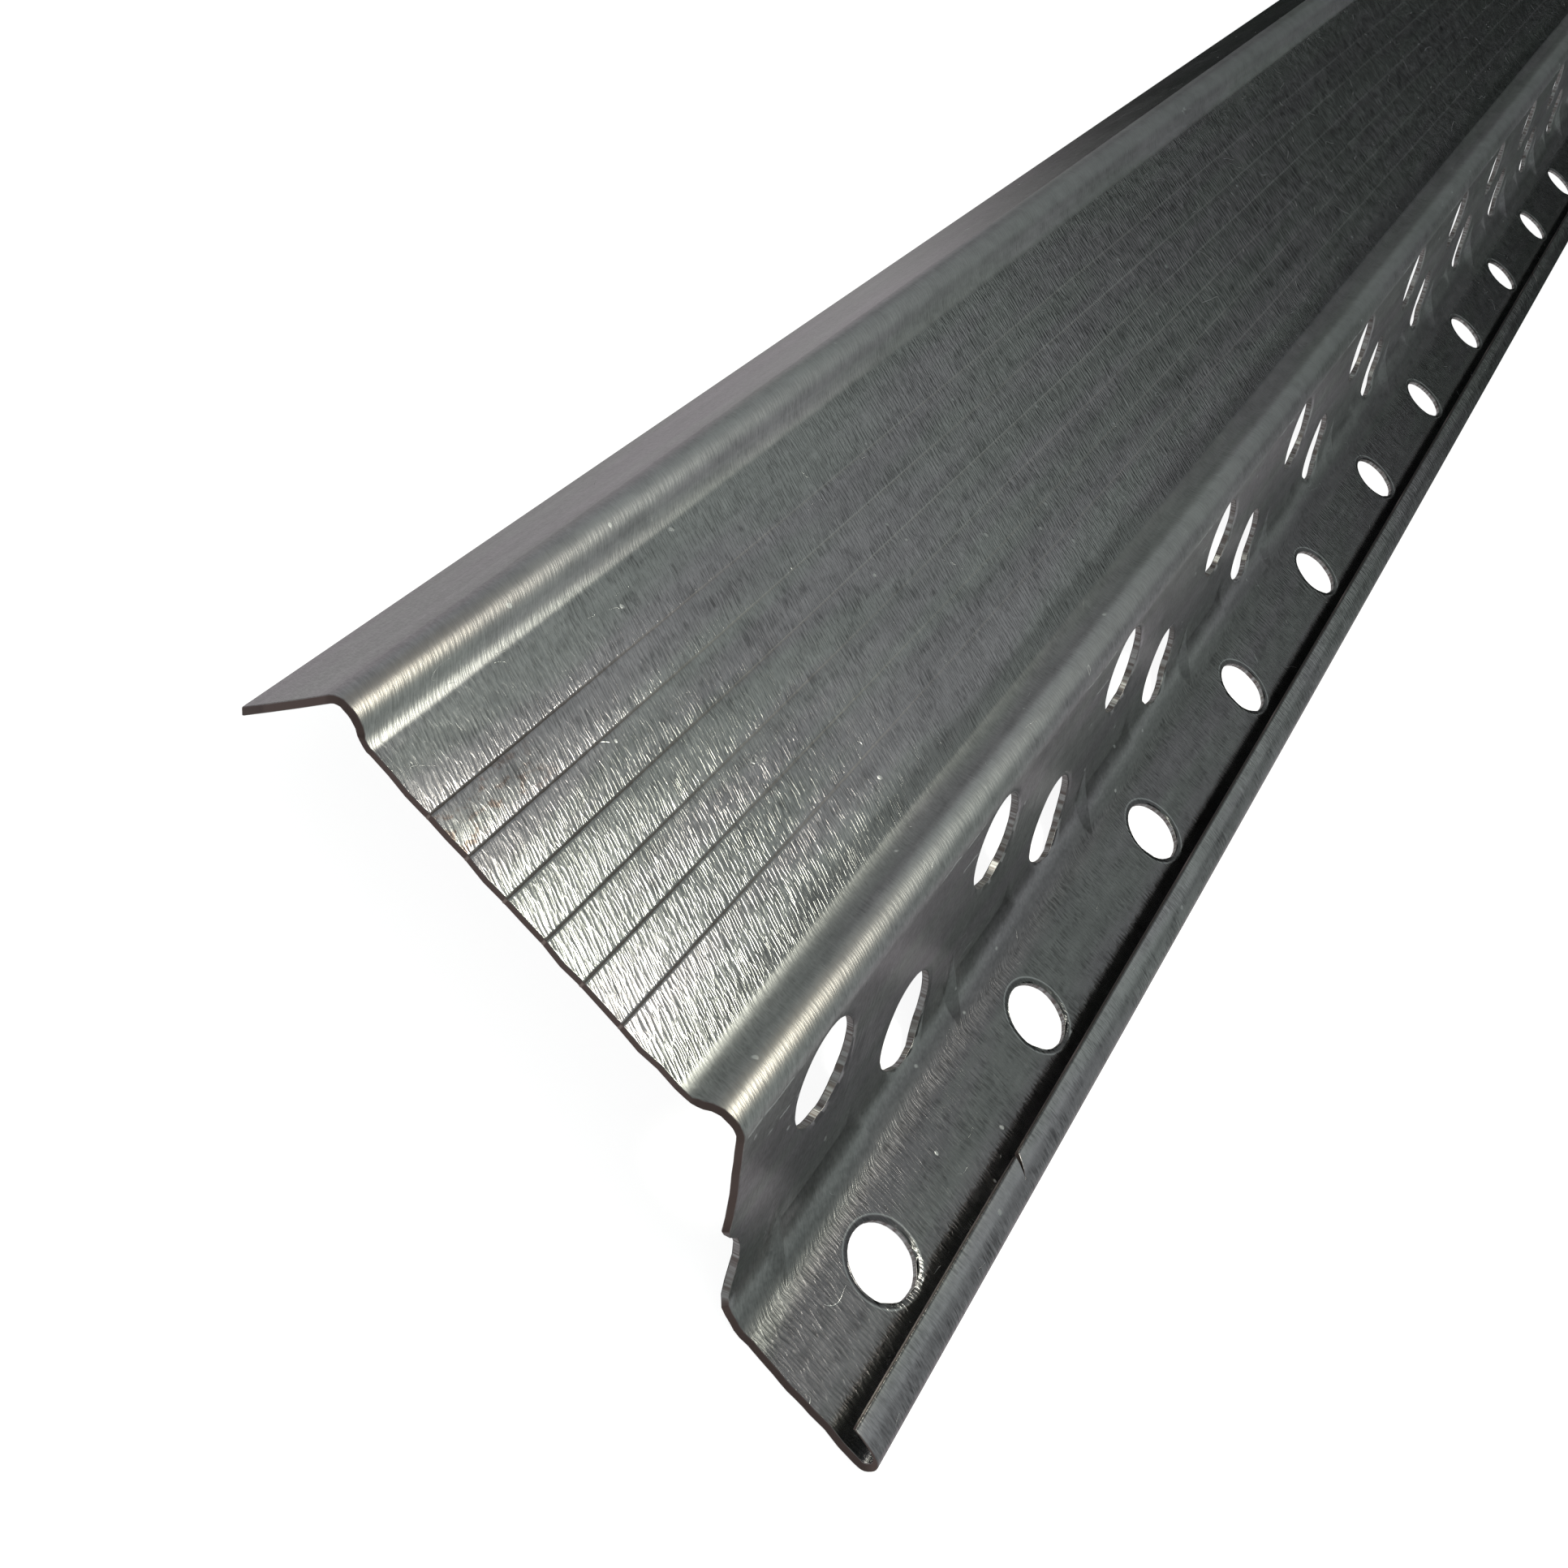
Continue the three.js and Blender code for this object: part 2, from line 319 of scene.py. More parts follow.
def punched_patch(xs, rows, centre, radius):
    """A rectangular patch with a round hole in it.

    The rectangle's rim has n points. The circle has n points at even angles, paired with them in
    order. Each ring lies the same fraction of the way from every circle point to its rim point.
    """
    nx, ns = len(xs) - 1, len(rows) - 1
    rim = np.concatenate([
        np.column_stack([xs[:-1], np.full(nx, rows[0])]),
        np.column_stack([np.full(ns, xs[-1]), rows[:-1]]),
        np.column_stack([xs[:0:-1], np.full(nx, rows[-1])]),
        np.column_stack([np.full(ns, xs[0]), rows[:0:-1]]),
    ])
    count = len(rim)
    angles = -math.pi / 2 - math.pi * nx / count + 2 * math.pi * np.arange(count) / count
    circle = np.array(centre) + radius * np.column_stack([np.cos(angles), np.sin(angles)])
    points = circle + RINGS[:, None, None] * (rim - circle)
    j = np.arange(count)
    k = np.arange(len(RINGS) - 1)[:, None] * count
    following = (j + 1) % count
    faces = np.stack([k + j, k + count + j, k + count + following, k + following], axis=-1)
    return points.reshape(-1, 2), faces.reshape(-1, 4)


def repeated(patch, shifts):
    """Copies of a patch moved along X by each of the shifts."""
    points, faces = patch
    moved = points[None] + np.column_stack([shifts, np.zeros(len(shifts))])[:, None]
    renumbered = faces[None] + len(points) * np.arange(len(shifts))[:, None, None]
    return moved.reshape(-1, 2), renumbered.reshape(-1, 4)


def welded(patches):
    """One mesh from patches whose edges meet: points closer than a tenth of a micron become one."""
    starts = np.cumsum([0] + [len(points) for points, _ in patches[:-1]])
    points = np.concatenate([points for points, _ in patches])
    faces = np.concatenate([faces + start for (_, faces), start in zip(patches, starts)])
    _, first, index = np.unique(np.round(points * 1e7).astype(np.int64), axis=0,
                                return_index=True, return_inverse=True)
    return points[first], index.ravel()[faces]


def even(start, stop, count):
    """Evenly spaced values from start up to but not including stop."""
    return np.linspace(start, stop, count + 1)[:-1]


class FlatStrip:
    """The strip before it is formed: a flat mesh in x and s with its holes, slits and cut ends.

    It is laid out in cells of half a hole pitch. The rim of the flat mesh stands in from the real
    edges by the inset, which leaves room for their rolled corners.
    """

    def __init__(self, section, size, grooves, punching):
        self.section, self.size, self.grooves, self.punching = section, size, grooves, punching
        self.inset = size.edge_round
        self.left = BAR_LOW.x + self.inset
        self.right = BAR_HIGH.x - self.inset
        self.cell = punching.pitch / 2
        self.first_hole = BAR_LOW.x + punching.first
        self.margin = self.first_hole - self.cell / 2
        self.cells = int((self.right - self.margin) / self.cell)
        self.cut_hole = self.first_hole - self.cell
        self.flange_radius = punching.flange_hole / 2 + self.inset
        self.web_radius = punching.web_hole / 2 + self.inset
        self.flange_row = section.across(punching.flange_row, "flange")
        climb_from = section.start["web"] - section.foot_setback
        self.lower_row = climb_from + punching.lower_climb
        self.upper_row = climb_from + punching.upper_climb

    def groove_rows(self):
        """Rows across the face: five for each groove, one between neighbours, and the plain margins."""
        start, stop = self.section.start["face"], self.section.stop["face"]
        centres = self.groove_centres()
        rows = centres[:, None] + GROOVE_ROWS * self.grooves.half_width
        between = (centres[:-1] + centres[1:]) / 2
        margins = np.concatenate([even(start, rows.min(), 3), np.linspace(rows.max(), stop, 4)[1:-1]])
        return np.sort(np.concatenate([rows.ravel(), between, margins]))

    def groove_centres(self):
        """Distances along the section of the grooves, spaced evenly about the middle of the set."""
        order = np.arange(self.grooves.count) - (self.grooves.count - 1) / 2
        return self.section.across(self.grooves.middle, "face") + order * self.grooves.pitch

    def build(self):
        """Points in x and s, and four-cornered faces, of the whole flat strip."""
        start, stop = self.section.start, self.section.stop
        half = self.cell / 2
        band_low, band_high = self.flange_row - FLANGE_BAND, self.flange_row + FLANGE_BAND
        web_low, web_high = start["foot"] - FOOT_LAP, stop["web"]
        aside = self.near_edge(np.array([self.lower_row]))[0] - self.cut_hole
        notch_top = self.lower_row + math.sqrt(self.web_radius ** 2 - aside ** 2)

        slit_reach = self.punching.slit_reach
        hem_rows = np.concatenate([
            even(self.inset, slit_reach, SLIT_ROWS),
            even(slit_reach, stop["hem_return"], RETURN_ROWS),
            even(start["hem_fold"], stop["hem_fold"], FOLD_ROWS),
            [start["flange"], band_low]])
        flange_rows = np.linspace(band_low, band_high, FLANGE_ROWS + 1)
        web_rows = np.concatenate([
            [web_low],
            even(start["foot"], start["web"], FOOT_ROWS),
            even(start["web"], notch_top, LOW_WEB_ROWS),
            np.linspace(notch_top, web_high, HIGH_WEB_ROWS + 1)])
        top_rows = np.concatenate([
            even(start["hem_bead"], stop["hem_bead"], BEAD_ROWS),
            [start["hem_rise"]],
            even(start["hem_side"], stop["hem_side"], SHOULDER_ROWS),
            self.groove_rows(),
            even(start["lip_side"], stop["lip_side"], SHOULDER_ROWS),
            [start["lip_rise"]],
            even(start["lip_bead"], stop["lip_bead"], BEAD_ROWS),
            np.linspace(start["lip"], self.section.reach - self.inset, LIP_ROWS + 1)])

        end_x = np.linspace(self.left, self.margin, END_COLUMNS + 1)
        cell_x = np.linspace(-half, half, COLUMNS + 1)
        far_x = np.array([self.margin + self.cells * self.cell, self.right])
        all_x = np.concatenate([
            end_x[:-1],
            self.margin + self.cell / COLUMNS * np.arange(self.cells * COLUMNS + 1),
            [self.right]])
        centres = self.margin + half + self.cell * np.arange(self.cells)
        whole, staggered = centres[0::2], centres[1::2]
        patches = [
            self.slit_hem(all_x, hem_rows),
            grid_patch(all_x, np.array([band_high, web_low])),
            grid_patch(all_x, top_rows),
            repeated(punched_patch(cell_x, flange_rows, (0, self.flange_row), self.flange_radius), whole),
            repeated(grid_patch(cell_x, flange_rows), staggered),
            repeated(punched_patch(cell_x, web_rows, (0, self.upper_row), self.web_radius), whole),
            repeated(punched_patch(cell_x, web_rows, (0, self.lower_row), self.web_radius), staggered),
        ]
        patches += [grid_patch(xs, rows) for rows in (flange_rows, web_rows) for xs in (end_x, far_x)]
        points, faces = welded(patches)
        return self.trimmed(points), faces

    def slit_hem(self, xs, rows):
        """The hem's patch, torn open along a few of its columns.

        Each torn column is moved to its slit and leans with it. Below the slit's end the column
        eases back to its own place. The upper points are doubled, and the faces to their right take
        the second set, which stands a slit's width further on.
        """
        points, faces = grid_patch(xs, rows)
        columns, punching = len(xs), self.punching
        depth = rows[:SLIT_ROWS]
        ease = np.clip((rows[-2] - rows) / (rows[-2] - punching.slit_reach), 0, 1)
        lean = -punching.slit_lean * np.clip(rows / punching.slit_reach, 0, 1)
        half_gap = self.inset + punching.slit_width / 2 * (1 - depth / punching.slit_reach)
        for mouth in np.arange(BAR_LOW.x + punching.first_slit, self.right, punching.slit_pitch):
            column = np.argmin(np.abs(xs - mouth))
            torn = np.arange(SLIT_ROWS) * columns + column
            points[column:len(rows) * columns:columns, 0] += (mouth + lean - xs[column]) * ease
            second = np.arange(len(points))
            second[torn] = len(points) + np.arange(SLIT_ROWS)
            to_the_right = torn - np.arange(SLIT_ROWS)
            faces[to_the_right] = second[faces[to_the_right]]
            points = np.concatenate([points, points[torn] + half_gap[:, None] * (1, 0)])
            points[torn, 0] -= half_gap
        return points, faces

    def near_edge(self, s):
        """X of the hand-cut end at each s.

        It is a skewed line that wavers, bulges between the grooves, and stands out in a torn corner
        just above the hole that it cuts.
        """
        y, _ = self.section.place(s, 0)
        share = (y - BAR_LOW.y) / (BAR_HIGH.y - BAR_LOW.y)
        above = s - (self.lower_row + TORN_START)
        torn = np.clip(1 - above / TORN_LENGTH, 0, 1) ** TORN_CURVE * (above > -TORN_UNDERCUT)
        phases = 2 * math.pi * s[:, None] / END_WAVES + np.arange(len(END_WAVES))
        order = (s - self.groove_centres()[0]) / self.grooves.pitch
        bulge = np.abs(np.sin(math.pi * order)) * ((order > -1) & (order < self.grooves.count))
        stray = np.sin(phases) @ END_WAVE_HEIGHTS - END_BULGE * bulge
        return (self.left + self.punching.skew * share - self.punching.torn_corner * torn
                + self.punching.end_waver * stray)

    def nearest_hole(self, points):
        """For each point, the step to it from the centre of the nearest hole, and its clearance.

        The clearance is the distance from the hole's rim.
        """
        x, s = points.T
        pitch = 2 * self.cell
        best = np.full(len(points), np.inf)
        step = np.zeros((len(points), 2))
        for row, first, radius in ((self.flange_row, self.first_hole, self.flange_radius),
                                   (self.upper_row, self.first_hole, self.web_radius),
                                   (self.lower_row, self.cut_hole, self.web_radius)):
            aside = np.column_stack([(x - first + self.cell) % pitch - self.cell, s - row])
            clearance = np.hypot(*aside.T) - radius
            near = np.abs(clearance) < np.abs(best)
            best[near], step[near] = clearance[near], aside[near]
        return step, best

    def trimmed(self, points):
        """The flat mesh drawn in to the real end, with slightly ragged holes.

        Columns beside the cut share out the room that is left. Where the end crosses the first hole
        of the staggered row, the edge follows the hole's arc.
        """
        x, s = points.T
        edge = self.near_edge(s)
        arc = np.sqrt(np.clip(self.web_radius ** 2 - (s - self.lower_row) ** 2, 0, None))
        edge = np.where(arc > 0, np.maximum(edge, self.cut_hole + arc), edge)
        share = np.clip((self.margin - x) / (self.margin - self.left), 0, 1)
        drawn = np.column_stack([x + share * (edge - self.left), s])
        step, clearance = self.nearest_hole(drawn)
        fade = np.exp(-np.abs(clearance) / RIM_RAG_REACH) * (share == 0)
        turn = np.arctan2(step[:, 1], step[:, 0])
        phases = turn[:, None] * RIM_WAVES + drawn[:, :1] / RIM_WAVE_SHIFTS
        waver = np.sin(phases) @ RIM_WAVE_HEIGHTS
        radial = step / np.linalg.norm(step, axis=1, keepdims=True)
        return drawn + radial * (fade * waver * self.punching.hole_waver)[:, None]


# ---------------------------------------------------------------- the formed strip


NORMAL_REACH = 0.02 * MM    # the small step that finds which way the skin faces
SWELL_FADE = 2 * MM         # over which the face's swell dies out at its two sides
PUNCHED_WITHIN = 0.08 * MM  # a rim point this close to a hole's circle was punched
BURR_RAG = 0.3              # share of the burr's height that wavers
BURR_WAVES = 3              # waves of the burr round a hole
WEB_BELOW = 0.5 * MM        # how far below the foot bend the web's holes may reach
CUT_WITHIN = 0.2 * MM       # the hand-cut end's points stand further than this from the whole cells
GROOVED_HALF = 14 * MM      # half the width over which the shears met the grooved face
GROOVED_DRAG = 0.3          # share of the drag that the grooved face took


def open_edges(faces):
    """The edges that have a face on one side only, each directed with its face on the left."""
    edges = np.stack([faces, np.roll(faces, -1, axis=1)], axis=-1).reshape(-1, 2)
    span = faces.max() + 1
    keys, reverse = edges[:, 0] * span + edges[:, 1], edges[:, 1] * span + edges[:, 0]
    return edges[~np.isin(keys, reverse)]


def outward(points, edges):
    """At each point on the rim, the unit direction in the flat sheet that leads out of it."""
    run = points[edges[:, 1]] - points[edges[:, 0]]
    run /= np.linalg.norm(run, axis=1, keepdims=True)
    away = np.column_stack([run[:, 1], -run[:, 0]])
    total = np.zeros_like(points)
    np.add.at(total, edges[:, 0], away)
    np.add.at(total, edges[:, 1], away)
    length = np.linalg.norm(total, axis=1, keepdims=True)
    return total / np.where(length > 0, length, 1)


class FormedStrip:
    """Carries the flat strip round the section and gives it its thickness."""

    def __init__(self, flat):
        self.flat = flat
        self.half_sheet = flat.size.sheet / 2

    def pressed(self, s):
        """Lift of the sheet at s from rolling: a V at each groove, and a slight swell between them."""
        grooves = self.flat.grooves
        centres = self.flat.groove_centres()
        away = np.min(np.abs(s[:, None] - centres), axis=1)
        start, stop = self.flat.section.start["face"], self.flat.section.stop["face"]
        vee = -grooves.depth * np.clip(1 - away / grooves.half_width, 0, 1)
        on_face = (s > start) & (s < stop)
        swell = np.where(on_face, np.minimum(away / grooves.pitch, 0.5), 0)
        swell *= np.clip(np.minimum(s - start, stop - s) / SWELL_FADE, 0, 1)
        return vee + grooves.pillow * np.sin(swell * math.pi)

    def dipped(self, points):
        """How far the skin dips where a punch drew it into a hole."""
        _, clearance = self.flat.nearest_hole(points)
        near = np.clip(1 - np.abs(clearance) / self.flat.punching.rollover_reach, 0, 1)
        return self.flat.punching.rollover * near ** 2

    def place(self, points, lift):
        """Where flat points go when the sheet is formed, at the given lift above its middle."""
        x, s = points.T
        y, z = self.flat.section.place(s, lift + self.pressed(s) - self.dipped(points))
        return np.column_stack([x, y, z])

    def normals(self, points):
        """The skin's upward normals, from how far a point moves for small steps in x and s."""
        steps = np.array([[NORMAL_REACH, 0], [0, NORMAL_REACH]])
        along, across = (self.place(points + step, 0) - self.place(points - step, 0) for step in steps)
        normal = np.cross(along, across)
        return normal / np.linalg.norm(normal, axis=1, keepdims=True)

    def burr(self, points, step):
        """How far metal stands out below the rim of a web hole, wavering slowly round the hole."""
        turn = np.arctan2(step[:, 1], step[:, 0])
        in_web = points[:, 1] > self.flat.section.start["foot"] - WEB_BELOW
        ragged = 1 - BURR_RAG + BURR_RAG * np.sin(BURR_WAVES * turn + points[:, 0] / MM)
        return self.flat.punching.exit_burr * ragged * in_web

    def drag(self, points, away):
        """How far the shears dragged the top skin back along the hand-cut end."""
        cut = (points[:, 0] < self.flat.margin - CUT_WITHIN) & (away[:, 0] < -0.5)
        grooved = np.abs(points[:, 1] - self.flat.groove_centres().mean()) < GROOVED_HALF
        return self.flat.punching.end_bevel * np.where(grooved, GROOVED_DRAG, 1) * cut

    def build(self):
        """Vertices, faces, normals, flat places and edge attributes of the closed strip.

        The flat mesh is placed half the sheet above and below the middle. Round its rim run two more
        loops, a little further out and a little nearer the middle, which make the sheared wall and
        its rolled-over corners. Under the web holes the lower loops stand out as a slight burr, and
        at the hand-cut end the upper skin is dragged back.
        """
        flat = self.flat
        points, faces = flat.build()
        edges = open_edges(faces)
        rim = np.unique(edges)
        at_rim, away = points[rim], outward(points, edges)[rim]
        step, clearance = flat.nearest_hole(at_rim)
        punched = np.abs(clearance) < PUNCHED_WITHIN
        burr = self.burr(at_rim, step) * punched
        drag = self.drag(at_rim, away) * ~punched

        out = at_rim + away * flat.inset
        top, out_top = points.copy(), out.copy()
        top[rim, 0] += drag
        out_top[:, 0] += drag
        bottom_lift = np.full(len(points), -self.half_sheet)
        bottom_lift[rim] -= burr
        wall = self.half_sheet - flat.inset
        vertices = np.concatenate([self.place(top, self.half_sheet), self.place(points, bottom_lift),
                                   self.place(out_top, wall), self.place(out, -wall - burr)])

        up = self.normals(points)
        along_x = np.array([1.0, 0, 0])
        rim_out = away[:, :1] * along_x + away[:, 1:] * np.cross(up[rim], along_x)
        rim_out /= np.linalg.norm(rim_out, axis=1, keepdims=True)
        down = -up
        down[rim] = np.where((burr > 0)[:, None], -rim_out, down[rim])
        normals = np.concatenate([up, down, rim_out, rim_out])

        n, m = len(points), len(rim)
        rim_index = np.zeros(n, dtype=np.int64)
        rim_index[rim] = 2 * n + np.arange(m)
        a, b = edges.T
        ra, rb = rim_index[a], rim_index[b]
        walls = [
            np.column_stack([b, a, ra, rb]),
            np.column_stack([rb, ra, ra + m, rb + m]),
            np.column_stack([rb + m, ra + m, a + n, b + n]),
        ]
        all_faces = np.concatenate([faces, faces[:, ::-1] + n, *walls])
        flat_places = np.concatenate([points, points, out, out])
        skin = np.zeros(2 * n)
        attributes = {"sheared_edge": np.concatenate([skin, np.ones(2 * m)]),
                      "punched_edge": np.concatenate([skin, punched, punched])}
        return vertices, all_faces, normals, flat_places, attributes


def mesh_object(name, vertices, faces, normals, flat_places, attributes):
    """A mesh object at the origin, with smooth faces, set normals and the flat strip as its UV map."""
    mesh = bpy.data.meshes.new(name)
    mesh.vertices.add(len(vertices))
    mesh.vertices.foreach_set("co", vertices.astype(np.float32).ravel())
    mesh.loops.add(faces.size)
    mesh.loops.foreach_set("vertex_index", faces.astype(np.int32).ravel())
    mesh.polygons.add(len(faces))
    mesh.polygons.foreach_set("loop_start", np.arange(0, faces.size, 4, dtype=np.int32))
    mesh.update(calc_edges=True)
    mesh.polygons.foreach_set("use_smooth", np.ones(len(faces), dtype=bool))
    mesh.normals_split_custom_set_from_vertices(normals.astype(np.float32))
    uv = mesh.uv_layers.new(name="flat_strip")
    uv.data.foreach_set("uv", flat_places[faces.ravel()].astype(np.float32).ravel())
    for label, values in attributes.items():
        mesh.attributes.new(label, "FLOAT", "POINT").data.foreach_set("value", values.astype(np.float32))
    if mesh.validate():
        raise RuntimeError(name + " has faces that had to be repaired")
    piece = bpy.data.objects.new(name, mesh)
    bpy.context.scene.collection.objects.link(piece)
    return piece


# ---------------------------------------------------------------- shader maths


class Value:
    """A shader socket with the usual arithmetic: each operator adds one Math node."""

    def __init__(self, shader, socket):
        self.shader, self.socket = shader, socket

    def _with(self, operation, *others):
        return self.shader.math(operation, self, *others)

    def __add__(self, other):
        return self._with("ADD", other)

    def __sub__(self, other):
        return self._with("SUBTRACT", other)

    def __mul__(self, other):
        return self._with("MULTIPLY", other)

    def __truediv__(self, other):
        return self._with("DIVIDE", other)

    def __abs__(self):
        return self._with("ABSOLUTE")

    def root(self):
        return self._with("SQRT")

    def __mod__(self, other):
        return self._with("FLOORED_MODULO", other)

    def __rsub__(self, other):
        return self.shader.math("SUBTRACT", other, self)

    def __rtruediv__(self, other):
        return self.shader.math("DIVIDE", other, self)

    __radd__ = __add__
    __rmul__ = __mul__


class Shader:
    """The nodes of one material or world. Numbers, tuples and sockets can all be given as inputs."""

    def __init__(self, owner):
        owner.use_nodes = True
        self.tree = owner.node_tree
        self.tree.nodes.clear()

    def node(self, kind, settings=None, ordered=None, **named):
        """Any node: its settings, then its inputs by number, then by name with _ for each space."""
        made = self.tree.nodes.new(kind)
        for key, value in (settings or {}).items():
            setattr(made, key, value)
        for key, value in (ordered or {}).items():
            self.feed(made.inputs[key], value)
        for key, value in named.items():
            self.feed(made.inputs[key.replace("_", " ")], value)
        return made

    def feed(self, socket, value):
        if isinstance(value, Value):
            self.tree.links.new(value.socket, socket)
        elif isinstance(value, bpy.types.NodeSocket):
            self.tree.links.new(value, socket)
        else:
            socket.default_value = value

    def math(self, operation, *operands):
        made = self.node("ShaderNodeMath", {"operation": operation}, dict(enumerate(operands)))
        return Value(self, made.outputs[0])

    def most(self, a, b):
        """The greater of two values."""
        return self.math("MAXIMUM", a, b)

    def step(self, value, start, stop):
        """0 below start, 1 above stop, and smooth between them. It falls where start is above stop."""
        made = self.node("ShaderNodeMapRange", {"interpolation_type": "SMOOTHSTEP"},
                         Value=value, From_Min=start, From_Max=stop)
        return Value(self, made.outputs["Result"])

    def mix(self, share, a, b):
        """A colour: a where share is 0, b where it is 1."""
        a, b = (end if isinstance(end, bpy.types.NodeSocket) else (*end, 1) for end in (a, b))
        made = self.node("ShaderNodeMix", {"data_type": "RGBA"}, {6: a, 7: b}, Factor=share)
        return made.outputs[2]

    def spot(self, x, y, stretch_x, stretch_y, seed=0):
        """A vector for textures: x and y in millimetres, each divided by how long the pattern is."""
        made = self.node("ShaderNodeCombineXYZ", X=x / stretch_x, Y=y / stretch_y, Z=float(seed))
        return made.outputs[0]

    def noise(self, vector, detail=2.0, roughness=0.5, distortion=0.0):
        made = self.node("ShaderNodeTexNoise", Vector=vector, Scale=1.0, Detail=detail,
                         Roughness=roughness, Distortion=distortion)
        return Value(self, made.outputs["Fac"])

    def cells(self, vector, feature="F1", output="Distance"):
        made = self.node("ShaderNodeTexVoronoi", {"feature": feature}, Vector=vector, Scale=1.0)
        return Value(self, made.outputs[output])

    def between(self, value, low, high, soft):
        """1 from low to high, falling to 0 within the given soft distance on both sides."""
        return self.step(value, low - soft, low) * self.step(value, high + soft, high)

    def attribute(self, name):
        return Value(self, self.node("ShaderNodeAttribute", {"attribute_name": name}).outputs["Fac"])

    def tint(self, colour, tone):
        """A colour made lighter or darker by a plain factor."""
        made = self.node("ShaderNodeVectorMath", {"operation": "SCALE"}, {0: colour}, Scale=tone)
        return made.outputs[0]


# ---------------------------------------------------------------- galvanised steel


